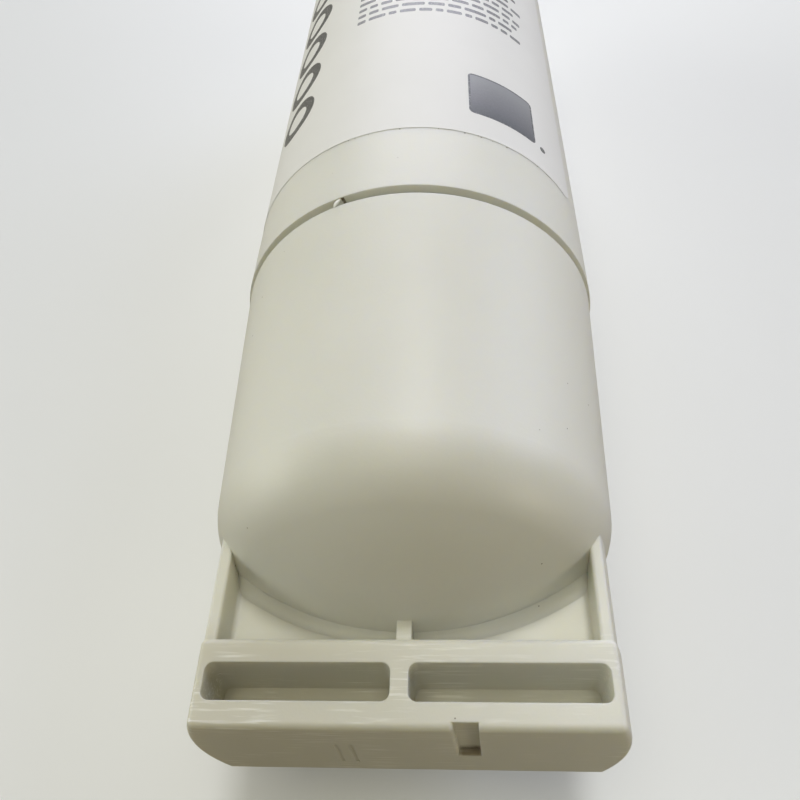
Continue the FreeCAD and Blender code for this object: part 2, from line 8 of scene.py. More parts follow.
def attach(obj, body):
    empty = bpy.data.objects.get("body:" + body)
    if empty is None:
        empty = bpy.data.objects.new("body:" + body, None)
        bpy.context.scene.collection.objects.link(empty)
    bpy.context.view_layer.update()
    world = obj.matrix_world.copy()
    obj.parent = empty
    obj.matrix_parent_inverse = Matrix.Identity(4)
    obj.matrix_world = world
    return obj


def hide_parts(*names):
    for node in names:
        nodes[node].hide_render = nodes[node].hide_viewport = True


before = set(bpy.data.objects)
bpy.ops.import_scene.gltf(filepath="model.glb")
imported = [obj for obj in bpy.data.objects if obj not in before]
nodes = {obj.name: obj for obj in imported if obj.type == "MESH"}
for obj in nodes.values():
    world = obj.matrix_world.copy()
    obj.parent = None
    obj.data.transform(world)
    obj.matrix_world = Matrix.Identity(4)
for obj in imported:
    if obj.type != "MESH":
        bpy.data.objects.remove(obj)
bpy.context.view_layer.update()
print("frame loaded,", len(nodes), "nodes")

mm = 0.001
mergeDistance = 1e-7              # in metres, vertices nearer than this are one


def toLinear(hexColour):
    # "#rrggbb" as seen on screen, to the linear colour that shaders take
    channels = [int(hexColour[i:i + 2], 16) / 255 for i in (1, 3, 5)]
    linear = [c / 12.92 if c <= 0.04045 else ((c + 0.055) / 1.055) ** 2.4 for c in channels]
    return (*linear, 1.0)


def addNode(tree, kind, inputs=None, **settings):
    # inputs: socket name or number to a plain value or to another node's output.
    # In a map range, 1 and 2 are the ends of what comes in, 3 and 4 the ends of what goes out.
    node = tree.nodes.new(kind)
    for name, setting in settings.items():
        setattr(node, name, setting)
    for name, source in (inputs or {}).items():
        if isinstance(source, bpy.types.NodeSocket):
            tree.links.new(source, node.inputs[name])
        else:
            node.inputs[name].default_value = source
    return node


def newMaterial(name):
    material = bpy.data.materials.new(name)
    material.use_nodes = True
    material.node_tree.nodes.clear()
    return material, material.node_tree


def useMaterial(piece, material):
    piece.data.materials.clear()
    piece.data.materials.append(material)


# Housing plastic: polypropylene with an ivory tint, injection moulded and lightly spark-grained.
# Satin, waxy because light goes in and comes out of grooves, with dust specks, rubbed grip edges with a
# painted highlight, grime and painted shade on the grip, and painted shade in hollows.
housing = {
    "ivory": "#E0E0D7",
    "pale": "#E5E5DE",                     # where the mould's flow left it lighter
    "cloudSize": 16 * mm,
    "cloudRange": (0.3, 0.7),
    "roughness": (0.38, 0.46),
    "ior": 1.49,
    "waxiness": 0.45,                      # share of the light that goes in
    "waxDepth": 3 * mm,
    "waxTint": (1.0, 0.9, 0.6),            # red goes furthest
    "grainSize": 0.5 * mm,                 # real spark grain is near 0.1 mm, drawn coarser so that it shows
    "grainDepth": 0.1 * mm,
    "grainStrength": 0.12,
    "wearAndHighlight": "#F2F1EB",                     # rubbed edges, lit also by a painted highlight, and scuffs
    "edgeRadius": 0.3 * mm,
    "edgeTurn": (0.985, 0.8),              # cosine between a face and its rounded edge
    "edgeWearAndHighlight": 0.55,
    "scuffWidth": 0.3 * mm,
    "scuffLength": 4 * mm,
    "scuffScale": 0.6,                     # waves of the pattern in that width and length
    "scuffRange": (0.52, 0.68),
    "scuffPatch": 9 * mm,
    "patchRange": (0.45, 0.62),
    "scuffWear": 0.8,
    "scuffDull": 0.12,
    "scuffDepth": -0.5,                    # as a share of the grain's height
    "speck": "#8C8676",
    "speckSpacing": 4 * mm,
    "speckRange": (0.035, 0.02),           # shares of the spacing
    "speckLeast": 0.55,                    # cells of the pattern under this number have no speck
    "grimeAndShade": "#B0A98C",                    # handling dirt and painted shade, the shade most in the hollows
    "hollowSize": 3 * mm,
    "hollowRange": (0.8, 0.25),            # how open a hollow is where its painted shade begins and where it is full
    "gripFade": (-102 * mm, -107 * mm),    # along the axis, where the grip's scuffs, grime and painted shade begin and are full
    "gripHalf": 22 * mm,                   # from its middle to where it is darkened least, right, or most, left
    "gripGrimeAndShade": (0.1, 0.42),              # grime and painted shade at those two places, the painted shade growing to the left
    "gripHollowShade": 0.22,                   # so much more painted shade in the grip's hollows
    "bodyHollowShade": 0.1,                      # painted shade in the hollows of the rest
    "notchShade": "#6F6147",                    # painted shade, dark brown, at the lower end of the notch
    "notchShadePlace": (8.4 * mm, -116.5 * mm, 30.3 * mm),
    "notchShadeRadius": 2.2 * mm,
    "notchShadeRange": (0.9, 0.7),              # only inside the notch
    "notchShadeMost": 0.85,
}


def makeIvoryPolypropylene():
    material, tree = newMaterial("ivoryMouldedPolypropylene")
    place = addNode(tree, "ShaderNodeTexCoord").outputs["Object"]
    clouds = addNode(tree, "ShaderNodeTexNoise", {"Vector": place, "Scale": 1 / housing["cloudSize"],
                                                  "Detail": 3.0, "Roughness": 0.55})
    grain = addNode(tree, "ShaderNodeTexNoise", {"Vector": place, "Scale": 1 / housing["grainSize"],
                                                 "Detail": 2.0})

    # Scuffs run across the grip, so their pattern is long in X and narrow in Y and Z
    stretch = addNode(tree, "ShaderNodeMapping", {
        "Vector": place,
        "Scale": (1 / housing["scuffLength"], 1 / housing["scuffWidth"], 1 / housing["scuffWidth"])})
    scuffs = addNode(tree, "ShaderNodeTexNoise", {
        "Vector": stretch.outputs[0], "Scale": housing["scuffScale"], "Detail": 3.0})
    scuffLine = addNode(tree, "ShaderNodeMapRange", {
        "Value": scuffs.outputs[0], 1: housing["scuffRange"][0], 2: housing["scuffRange"][1]})
    patches = addNode(tree, "ShaderNodeTexNoise", {"Vector": place, "Scale": 1 / housing["scuffPatch"],
                                                   "Detail": 1.0})
    rubbedPatch = addNode(tree, "ShaderNodeMapRange", {
        "Value": patches.outputs[0], 1: housing["patchRange"][0], 2: housing["patchRange"][1]})
    patchScuff = addNode(tree, "ShaderNodeMath", {0: scuffLine.outputs[0], 1: rubbedPatch.outputs[0]},
                         operation="MULTIPLY")
    split = addNode(tree, "ShaderNodeSeparateXYZ", {0: place})
    onGrip = addNode(tree, "ShaderNodeMapRange", {"Value": split.outputs["Y"], 1: housing["gripFade"][0],
                                                  2: housing["gripFade"][1]})
    gripScuff = addNode(tree, "ShaderNodeMath", {0: patchScuff.outputs[0], 1: onGrip.outputs[0]},
                        operation="MULTIPLY")

    specks = addNode(tree, "ShaderNodeTexVoronoi", {"Vector": place, "Scale": 1 / housing["speckSpacing"]})
    speckSpot = addNode(tree, "ShaderNodeMapRange", {
        "Value": specks.outputs["Distance"], 1: housing["speckRange"][0], 2: housing["speckRange"][1]})
    pick = addNode(tree, "ShaderNodeSeparateColor", {0: specks.outputs["Color"]})
    rare = addNode(tree, "ShaderNodeMath", {0: pick.outputs[0], 1: housing["speckLeast"]},
                   operation="GREATER_THAN")
    speckMask = addNode(tree, "ShaderNodeMath", {0: speckSpot.outputs[0], 1: rare.outputs[0]},
                        operation="MULTIPLY")

    # Grime and painted shade: more on the grip than elsewhere, more painted shade on its left, and most
    # painted shade in hollows
    hollow = addNode(tree, "ShaderNodeAmbientOcclusion", {"Distance": housing["hollowSize"]}, samples=8)
    gripSideDarkening = addNode(tree, "ShaderNodeMapRange", {
        "Value": split.outputs["X"], 1: housing["gripHalf"], 2: -housing["gripHalf"],
        3: housing["gripGrimeAndShade"][0], 4: housing["gripGrimeAndShade"][1]})
    deepest = addNode(tree, "ShaderNodeMath", {0: gripSideDarkening.outputs[0], 1: housing["gripHollowShade"]},
                      operation="ADD")
    darkeningLeast = addNode(tree, "ShaderNodeMapRange", {"Value": onGrip.outputs[0], 3: 0.0, 4: gripSideDarkening.outputs[0]})
    darkeningMost = addNode(tree, "ShaderNodeMapRange", {"Value": onGrip.outputs[0], 3: housing["bodyHollowShade"],
                                                    4: deepest.outputs[0]})
    # Darkening: grime and painted shade on the grip, painted shade in the hollows
    darkening = addNode(tree, "ShaderNodeMapRange", {
        "Value": hollow.outputs["AO"], 1: housing["hollowRange"][0], 2: housing["hollowRange"][1],
        3: darkeningLeast.outputs[0], 4: darkeningMost.outputs[0]})
    # Painted shade, dark brown, at the lower end of the notch
    fromNotchShade = addNode(tree, "ShaderNodeVectorMath", {0: place, 1: housing["notchShadePlace"]},
                        operation="DISTANCE")
    inNotch = addNode(tree, "ShaderNodeMapRange", {
        "Value": hollow.outputs["AO"], 1: housing["notchShadeRange"][0], 2: housing["notchShadeRange"][1],
        3: 0.0, 4: housing["notchShadeMost"]})
    notchShade = addNode(tree, "ShaderNodeMapRange", {
        "Value": fromNotchShade.outputs["Value"], 1: housing["notchShadeRadius"], 2: housing["notchShadeRadius"] / 2,
        3: 0.0, 4: inNotch.outputs[0]})

    # Wear and painted highlight: edges that stand out, where the rounded normal turns away from the face,
    # lightened as worn and as a painted highlight; and scuffs
    soft = addNode(tree, "ShaderNodeBevel", {"Radius": housing["edgeRadius"]}, samples=6)
    facing = addNode(tree, "ShaderNodeNewGeometry")
    turned = addNode(tree, "ShaderNodeVectorMath", {0: soft.outputs[0], 1: facing.outputs["Normal"]},
                     operation="DOT_PRODUCT")
    edge = addNode(tree, "ShaderNodeMapRange", {
        "Value": turned.outputs["Value"], 1: housing["edgeTurn"][0], 2: housing["edgeTurn"][1],
        3: 0.0, 4: housing["edgeWearAndHighlight"]})
    convex = addNode(tree, "ShaderNodeMath", {0: edge.outputs[0], 1: hollow.outputs["AO"]},
                     operation="MULTIPLY")
    rubbedAndHighlight = addNode(tree, "ShaderNodeMath", {
        0: gripScuff.outputs[0], 1: housing["scuffWear"], 2: convex.outputs[0]},
        operation="MULTIPLY_ADD", use_clamp=True)

    tint = addNode(tree, "ShaderNodeMixRGB", {0: clouds.outputs[0], 1: toLinear(housing["ivory"]),
                                              2: toLinear(housing["pale"])})
    darkened = addNode(tree, "ShaderNodeMixRGB", {0: darkening.outputs[0], 1: tint.outputs[0],
                                               2: toLinear(housing["grimeAndShade"])})
    notchShaded = addNode(tree, "ShaderNodeMixRGB", {0: notchShade.outputs[0], 1: darkened.outputs[0],
                                                 2: toLinear(housing["notchShade"])})
    # Lighter on scuffs, and on convex edges as wear with a painted highlight
    wearAndHighlight = addNode(tree, "ShaderNodeMixRGB", {0: rubbedAndHighlight.outputs[0], 1: notchShaded.outputs[0],
                                              2: toLinear(housing["wearAndHighlight"])})
    specked = addNode(tree, "ShaderNodeMixRGB", {0: speckMask.outputs[0], 1: wearAndHighlight.outputs[0],
                                                 2: toLinear(housing["speck"])})
    shine = addNode(tree, "ShaderNodeMapRange", {
        "Value": clouds.outputs[0], 1: housing["cloudRange"][0], 2: housing["cloudRange"][1],
        3: housing["roughness"][0], 4: housing["roughness"][1]})
    dull = addNode(tree, "ShaderNodeMath", {
        0: gripScuff.outputs[0], 1: housing["scuffDull"], 2: shine.outputs[0]}, operation="MULTIPLY_ADD")
    height = addNode(tree, "ShaderNodeMath", {
        0: gripScuff.outputs[0], 1: housing["scuffDepth"], 2: grain.outputs[0]}, operation="MULTIPLY_ADD")
    bump = addNode(tree, "ShaderNodeBump", {
        "Height": height.outputs[0], "Normal": soft.outputs[0],
        "Strength": housing["grainStrength"], "Distance": housing["grainDepth"]})
    shader = addNode(tree, "ShaderNodeBsdfPrincipled", {
        "Base Color": specked.outputs[0], "Roughness": dull.outputs[0], "Normal": bump.outputs[0],
        "IOR": housing["ior"], "Subsurface Weight": housing["waxiness"],
        "Subsurface Radius": housing["waxTint"], "Subsurface Scale": housing["waxDepth"]})
    addNode(tree, "ShaderNodeOutputMaterial", {"Surface": shader.outputs[0]})
    return material


ivoryPolypropylene = makeIvoryPolypropylene()
for name in ("end_cap", "housing_tube"):
    useMaterial(nodes[name], ivoryPolypropylene)
print("housing plastic ready")


# Label: white polypropylene film with a smooth laminate, so it is whiter than the tube and its sheen is even
label = {
    "axisHeight": 32.4 * mm,
    "rimPlace": -39 * mm,         # rim of the tube, along the axis
    "rimRadius": 32.4 * mm,
    "slope": 1.9 / 128,           # the tube's taper
    "angles": (-233, 64.5),       # from the top, towards +X
    "places": (-23 * mm, 75 * mm),
    "corner": 3.0 * mm,
    "underside": 0.0 * mm,        # lift over the tube
    "outside": 0.05 * mm,
    "white": "#ECECEA",
    "shade": "#E7E7E5",
    "roughness": (0.5, 0.6),
    "ior": 1.49,
    "waveSize": 12 * mm,
    "waveHeight": 4.0,            # times the fleck's
    "fleckSize": 0.7 * mm,        # paper-like fleck of the film, drawn coarser so that it shows
    "fleckRange": (0.3, 0.7),
    "fleckDepth": 0.05 * mm,
    "fleckStrength": 0.08,
}


def tubeRadius(place):
    return label["rimRadius"] - label["slope"] * (place - label["rimPlace"])


def wrapPoint(angle, place, lift):
    radius = tubeRadius(place) + lift
    turn = math.radians(angle)
    return (radius * math.sin(turn), place, label["axisHeight"] + radius * math.cos(turn))


def addPatch(mesh, angles, places, corner, low, high):
    # One closed patch of film or ink, wrapped round the tube, with rounded corners
    cornerSteps, stepAngle = 5, 1.5
    perMm = math.degrees(mm / tubeRadius(sum(places) / 2))
    cornerAngle = min(corner / mm * perMm, (angles[1] - angles[0]) / 2)
    corner = min(corner, (places[1] - places[0]) / 2)
    straight = angles[1] - angles[0] - 2 * cornerAngle
    turns = [0.5 - 0.5 * math.cos(math.pi * i / (2 * cornerSteps)) for i in range(cornerSteps + 1)]
    steps = max(1, math.ceil(straight / stepAngle))
    columns = [(angles[0] + 2 * t * cornerAngle, 1 - 2 * t) for t in turns]
    columns += [(angles[0] + cornerAngle + straight * i / steps, 0) for i in range(1, steps)]
    columns += [(angles[1] - 2 * t * cornerAngle, 1 - 2 * t) for t in reversed(turns)]
    rows = []
    for angle, reach in columns:
        cut = corner * (1 - math.sqrt(max(0.0, 1 - reach * reach)))
        near, far = places[0] + cut, places[1] - cut
        ends = [(near, low), (near, high), (far, high), (far, low)]
        rows.append([mesh.verts.new(wrapPoint(angle, place, lift)) for place, lift in ends])
    for first, second in zip(rows, rows[1:]):
        for i in range(4):
            j = (i + 1) % 4
            face = mesh.faces.new((first[i], first[j], second[j], second[i]))
            face.smooth = i in (1, 3)
    mesh.faces.new(list(reversed(rows[0])))
    mesh.faces.new(rows[-1])


def addRing(mesh, angles, places, stroke, low, high):
    # One closed oval ring of ink, wrapped round the tube
    middle = (sum(angles) / 2, sum(places) / 2)
    half = ((angles[1] - angles[0]) / 2, (places[1] - places[0]) / 2)
    strokeAngle = math.degrees(stroke / tubeRadius(middle[1]))
    steps, lanes = 40, 4          # lanes across the stroke, so that it follows the tube's curve
    ends = [(lane / lanes, high) for lane in range(lanes + 1)]
    ends += [(lane / lanes, low) for lane in range(lanes, -1, -1)]
    rows = []
    for i in range(steps):
        turn = 2 * math.pi * i / steps
        row = []
        for share, lift in ends:
            angle = middle[0] + (half[0] - share * strokeAngle) * math.cos(turn)
            place = middle[1] + (half[1] - share * stroke) * math.sin(turn)
            row.append(mesh.verts.new(wrapPoint(angle, place, lift)))
        rows.append(row)
    for first, second in zip(rows, rows[1:] + rows[:1]):
        for i in range(len(ends)):
            j = (i + 1) % len(ends)
            face = mesh.faces.new((first[i], first[j], second[j], second[i]))
            face.smooth = i not in (lanes, len(ends) - 1)


def finishPiece(mesh, name, material):
    bmesh.ops.remove_doubles(mesh, verts=mesh.verts, dist=mergeDistance)
    bmesh.ops.recalc_face_normals(mesh, faces=mesh.faces)
    for edge in mesh.edges:
        edge.smooth = all(face.smooth for face in edge.link_faces)
    data = bpy.data.meshes.new(name)
    mesh.to_mesh(data)
    mesh.free()
    piece = bpy.data.objects.new(name, data)
    bpy.context.scene.collection.objects.link(piece)
    useMaterial(piece, material)
    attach(piece, "root")
    return piece


def makeLabelFilm():
    material, tree = newMaterial("whiteLaminatedFilm")
    place = addNode(tree, "ShaderNodeTexCoord").outputs["Object"]
    waves = addNode(tree, "ShaderNodeTexNoise", {"Vector": place, "Scale": 1 / label["waveSize"],
                                                 "Detail": 2.0})
    flecks = addNode(tree, "ShaderNodeTexNoise", {"Vector": place, "Scale": 1 / label["fleckSize"],
                                                  "Detail": 3.0})
    tint = addNode(tree, "ShaderNodeMixRGB", {0: waves.outputs[0], 1: toLinear(label["white"]),
                                              2: toLinear(label["shade"])})
    shine = addNode(tree, "ShaderNodeMapRange", {
        "Value": flecks.outputs[0], 1: label["fleckRange"][0], 2: label["fleckRange"][1],
        3: label["roughness"][0], 4: label["roughness"][1]})
    height = addNode(tree, "ShaderNodeMath", {
        0: waves.outputs[0], 1: label["waveHeight"], 2: flecks.outputs[0]}, operation="MULTIPLY_ADD")
    bump = addNode(tree, "ShaderNodeBump", {"Height": height.outputs[0], "Strength": label["fleckStrength"],
                                            "Distance": label["fleckDepth"]})
    shader = addNode(tree, "ShaderNodeBsdfPrincipled", {
        "Base Color": tint.outputs[0], "Roughness": shine.outputs[0], "Normal": bump.outputs[0],
        "IOR": label["ior"]})
    addNode(tree, "ShaderNodeOutputMaterial", {"Surface": shader.outputs[0]})
    return material


labelFilm = makeLabelFilm()
filmMesh = bmesh.new()
addPatch(filmMesh, label["angles"], label["places"], label["corner"], label["underside"], label["outside"])
film = finishPiece(filmMesh, "labelFilm", labelFilm)
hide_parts("label")
print("label film on the tube")


# Print: screen-printed ink, flat and a little glossier than the film, thin enough to let some white through
ink = {
    "thickness": 0.005 * mm,
    "roughness": 0.42,
    "ior": 1.5,
    "grainSize": 0.4 * mm,        # halftone grain, drawn coarser so that it shows
    "grainRange": (0.5, 0.75),
    "grainWhite": 0.35,           # how much white the thinnest ink lets through
    "grainDepth": 0.02 * mm,
    "grainStrength": 0.05,
    "darkGrey": "#5E5F5E",
    "midGrey": "#7F8083",
    "badgeFar": "#96979B",
    "badgeNear": "#55575B",
    "badgeRim": "#5C5E62",
    "badgeGrain": 0.25,
    "badgeAngles": (19.3, 45.2),
    "badgePlaces": (-16.3 * mm, -3.1 * mm),
    "badgeCorner": 1.1 * mm,
    "badgeBorder": 0.4 * mm,
    "dot": (48.7, -16.1 * mm, 0.75 * mm),    # angle, place along the axis, radius
    "ringAngles": (-60.0, -38.8),
    "ringFrom": -7.0 * mm,
    "ringWidth": 11.0 * mm,
    "ringPitch": 12.8 * mm,
    "ringStroke": 2.5 * mm,
    "ringCount": 6,
    "rowAngles": (-22.5, 46.5),
    "rowRagged": 8,               # rows end up to so many degrees early
    "rowFrom": 18.6 * mm,
    "rowPitch": 2.6 * mm,
    "rowHeight": 1.2 * mm,
    "rowCount": 8,
    "rowSeed": 7,
    "wordAngles": (2.5, 9.0),
    "wordGap": 1.3,
    "wordCorner": 0.35 * mm,
}


def endCoat(tree, grain, tint):
    bump = addNode(tree, "ShaderNodeBump", {"Height": grain.outputs[0], "Strength": ink["grainStrength"],
                                            "Distance": ink["grainDepth"]})
    shader = addNode(tree, "ShaderNodeBsdfPrincipled", {
        "Base Color": tint.outputs[0], "Roughness": ink["roughness"], "Normal": bump.outputs[0],
        "IOR": ink["ior"]})
    addNode(tree, "ShaderNodeOutputMaterial", {"Surface": shader.outputs[0]})


def makeCoat(name, colour):
    # Ink in one grey, and the dust, painted shadow and torn plastic below: satin, with white in its grain
    material, tree = newMaterial(name)
    place = addNode(tree, "ShaderNodeTexCoord").outputs["Object"]
    grain = addNode(tree, "ShaderNodeTexNoise", {"Vector": place, "Scale": 1 / ink["grainSize"],
                                                 "Detail": 2.0})
    thin = addNode(tree, "ShaderNodeMapRange", {
        "Value": grain.outputs[0], 1: ink["grainRange"][0], 2: ink["grainRange"][1],
        3: 0.0, 4: ink["grainWhite"]})
    tint = addNode(tree, "ShaderNodeMixRGB", {0: thin.outputs[0], 1: toLinear(colour),
                                              2: toLinear(label["white"])})
    endCoat(tree, grain, tint)
    return material


def makeBadgeInk():
    # Two screens over each other: paler at the far side, darker towards the cap
    material, tree = newMaterial("blendedGreyScreenInk")
    place = addNode(tree, "ShaderNodeTexCoord").outputs["Object"]
    grain = addNode(tree, "ShaderNodeTexNoise", {"Vector": place, "Scale": 1 / ink["grainSize"],
                                                 "Detail": 2.0})
    split = addNode(tree, "ShaderNodeSeparateXYZ", {0: place})
    near, far = ink["badgePlaces"]
    share = addNode(tree, "ShaderNodeMapRange", {"Value": split.outputs["Y"], 1: near, 2: far})
    grainy = addNode(tree, "ShaderNodeMath", {
        0: grain.outputs[0], 1: ink["badgeGrain"], 2: share.outputs[0]},
        operation="MULTIPLY_ADD", use_clamp=True)
    tint = addNode(tree, "ShaderNodeMixRGB", {0: grainy.outputs[0], 1: toLinear(ink["badgeNear"]),
                                              2: toLinear(ink["badgeFar"])})
    endCoat(tree, grain, tint)
    return material


darkInk = makeCoat("darkGreyScreenInk", ink["darkGrey"])
midInk = makeCoat("midGreyScreenInk", ink["midGrey"])
rimInk = makeCoat("badgeRimScreenInk", ink["badgeRim"])
inkLow = label["outside"] - ink["thickness"]
inkHigh = label["outside"] + ink["thickness"]


def makePrint():
    rim = bmesh.new()
    addPatch(rim, ink["badgeAngles"], ink["badgePlaces"], ink["badgeCorner"], inkLow, inkHigh)
    finishPiece(rim, "badgeRim", rimInk)

    field = bmesh.new()
    border = ink["badgeBorder"]
    turn = math.degrees(border / label["rimRadius"])
    angles = (ink["badgeAngles"][0] + turn, ink["badgeAngles"][1] - turn)
    places = (ink["badgePlaces"][0] + border, ink["badgePlaces"][1] - border)
    addPatch(field, angles, places, ink["badgeCorner"] - border, inkHigh, inkHigh + ink["thickness"])
    finishPiece(field, "badgeField", makeBadgeInk())

    dot = bmesh.new()
    angle, place, radius = ink["dot"]
    half = math.degrees(radius / tubeRadius(place))
    addPatch(dot, (angle - half, angle + half), (place - radius, place + radius), radius, inkLow, inkHigh)
    finishPiece(dot, "printDot", darkInk)

    # Large print, as a chain of plain ovals
    ovals = bmesh.new()
    for i in range(ink["ringCount"]):
        start = ink["ringFrom"] + i * ink["ringPitch"]
        places = (start, start + ink["ringWidth"])
        addRing(ovals, ink["ringAngles"], places, ink["ringStroke"], inkLow, inkHigh)
    finishPiece(ovals, "printOvals", darkInk)

    # Rows of small print, as plain strokes of word length
    rows = bmesh.new()
    dice = random.Random(ink["rowSeed"])
    for row in range(ink["rowCount"]):
        low = ink["rowFrom"] + row * ink["rowPitch"]
        angle = ink["rowAngles"][0]
        last = ink["rowAngles"][1] - dice.uniform(0, ink["rowRagged"])
        while angle < last - ink["wordAngles"][0]:
            end = min(angle + dice.uniform(*ink["wordAngles"]), last)
            addPatch(rows, (angle, end), (low, low + ink["rowHeight"]), ink["wordCorner"], inkLow, inkHigh)
            angle = end + ink["wordGap"]
    finishPiece(rows, "printRows", midInk)


makePrint()
print("print on the label")


# Dust that the glue caught along the film's front edge
dust = {
    "colour": "#948F82",
    "count": 13,
    "seed": 3,
    "angles": (-45, 62),
    "size": (0.08, 0.2),          # in mm
    "gap": 0.25,                  # at most, from the film's edge, in mm
    "narrow": (0.4, 0.8),         # half its width, as a share of its size
    "height": 0.04 * mm,
}


def makeEdgeDust():
    mesh = bmesh.new()
    dice = random.Random(dust["seed"])
    for i in range(dust["count"]):
        angle = dice.uniform(*dust["angles"])
        size = dice.uniform(*dust["size"]) * mm
        place = label["places"][0] - dice.uniform(0.0, dust["gap"]) * mm - size
        half = math.degrees(size / label["rimRadius"]) * dice.uniform(*dust["narrow"])
        addPatch(mesh, (angle - half, angle + half), (place, place + size), size / 3, 0.0, dust["height"])
    finishPiece(mesh, "edgeDust", makeCoat("caughtDust", dust["colour"]))


makeEdgeDust()


# Fillet where the dome meets the web: a ball rolled along both, so it is a piece of a ring
webFillet = {
    "crownCentre": Vector((0, -59.06, 32.4)) * mm,    # the dome's crown is part of a sphere
    "crownRadius": 43.64 * mm,
    "webTop": 35.6 * mm,
    "radius": 2.2 * mm,
    "halfWidth": 27.0 * mm,                           # its ends are inside the arms
    "sink": 0.4 * mm,                                 # its long edges go under both surfaces
    "sinkPower": 4,                                   # slowly at first, so that no crease shows
    "root": 1.0 * mm,                                 # its third edge is inside the plastic
}


def makeWebFillet():
    mesh = bmesh.new()
    centre, radius = webFillet["crownCentre"], webFillet["radius"]
    reach = webFillet["crownRadius"] + radius
    height = webFillet["webTop"] + radius
    sweep = math.sqrt(reach ** 2 - (height - centre.z) ** 2)
    onCrown = math.asin((height - centre.z) / reach)
    last = math.asin(webFillet["halfWidth"] / sweep)
    along, across = 96, 20
    rings = []
    for i in range(along + 1):
        turn = last * (2 * i / along - 1)
        outward = Vector((math.sin(turn), -math.cos(turn), 0))
        ball = centre + outward * sweep + Vector((0, 0, height - centre.z))
        ring = []
        for j in range(across + 1):
            # From straight down, on the web, round to the direction of the crown's centre
            dip = math.pi / 2 + (onCrown - math.pi / 2) * j / across
            away = radius + webFillet["sink"] * abs(2 * j / across - 1) ** webFillet["sinkPower"]
            point = ball - outward * math.cos(dip) * away - Vector((0, 0, math.sin(dip) * away))
            ring.append(mesh.verts.new(point))
        root = centre + outward * (webFillet["crownRadius"] - webFillet["root"])
        root.z = webFillet["webTop"] - webFillet["root"]
        ring.append(mesh.verts.new(root))
        rings.append(ring)
    for first, second in zip(rings, rings[1:]):
        for j in range(len(first)):
            k = (j + 1) % len(first)
            mesh.faces.new((first[j], second[j], second[k], first[k])).smooth = j < across
    mesh.faces.new(rings[0])
    mesh.faces.new(list(reversed(rings[-1])))
    finishPiece(mesh, "webFillet", ivoryPolypropylene)


makeWebFillet()


# Weld flash: a sliver of the housing plastic left standing in the weld groove, whitened where it tore,
# with its shadow painted in the groove beside it
sliver = {
    "from": (-20.2, -38.9 * mm, -0.25 * mm),    # angle, place along the axis, lift over the tube
    "to": (-21.9, -40.7 * mm, -0.3 * mm),
    "bow": 0.21 * mm,
    "width": 0.9 * mm,
    "endWidth": 0.3,                            # share of the width at its ends
    "topWidth": 0.7,                            # share of the width on top
    "thickness": 0.25 * mm,
    "endThickness": 0.4,
    "white": "#F6F6F2",
    "shadowAngles": (-19.7, -18.8),
    "shadowPlaces": (-39.1 * mm, -38.95 * mm),    # painted shadow, a thin band on the rim of the tube
    "shadowLift": (-1.3 * mm, -0.15 * mm),
    "shadowCorner": 0.05 * mm,
    # colour of the painted shadow beside the sliver
    "darkening": "#6A624C",
}


def makeSliver():
    mesh = bmesh.new()
    rings = []
    steps = 10
    for i in range(steps + 1):
        t = i / steps
        angle, place, lift = [a + (b - a) * t for a, b in zip(sliver["from"], sliver["to"])]
        swell = math.sin(math.pi * t)
        lift += sliver["bow"] * swell
        half = sliver["width"] * (sliver["endWidth"] + (1 - sliver["endWidth"]) * swell) / 2
        turn = math.degrees(half / label["rimRadius"])
        topTurn = turn * sliver["topWidth"]
        thin = sliver["thickness"] * (sliver["endThickness"] + (1 - sliver["endThickness"]) * swell)
        corners = [(angle - turn, lift - thin), (angle + turn, lift - thin),
                   (angle + topTurn, lift), (angle - topTurn, lift)]
        rings.append([mesh.verts.new(wrapPoint(a, place, h)) for a, h in corners])
    for first, second in zip(rings, rings[1:]):
        for i in range(4):
            j = (i + 1) % 4
            mesh.faces.new((first[i], first[j], second[j], second[i])).smooth = True
    mesh.faces.new(list(reversed(rings[0])))
    mesh.faces.new(rings[-1])
    finishPiece(mesh, "weldSliver", makeCoat("tornPolypropylene", sliver["white"]))
    # The dark patch beside the sliver is painted shadow
    mesh = bmesh.new()
    addPatch(mesh, sliver["shadowAngles"], sliver["shadowPlaces"], sliver["shadowCorner"], *sliver["shadowLift"])
    finishPiece(mesh, "paintedSliverShadow", makeCoat("paintedSliverShadow", sliver["darkening"]))


makeSliver()
print("dust, fillet and weld flash in place")


# Seals: nitrile rubber, compression moulded, black with a dusty satin skin
seals = {
    "black": "#1B1B1C",
    "dust": "#3A3A38",
    "dustSize": 1.5 * mm,
    "dustRange": (0.5, 0.8),
    "dustMost": 0.7,
    "shineRange": (0.3, 0.7),
    "roughness": (0.4, 0.58),
    "ior": 1.52,
    "skinSize": 0.3 * mm,
    "skinDepth": 0.05 * mm,
    "skinStrength": 0.15,
}


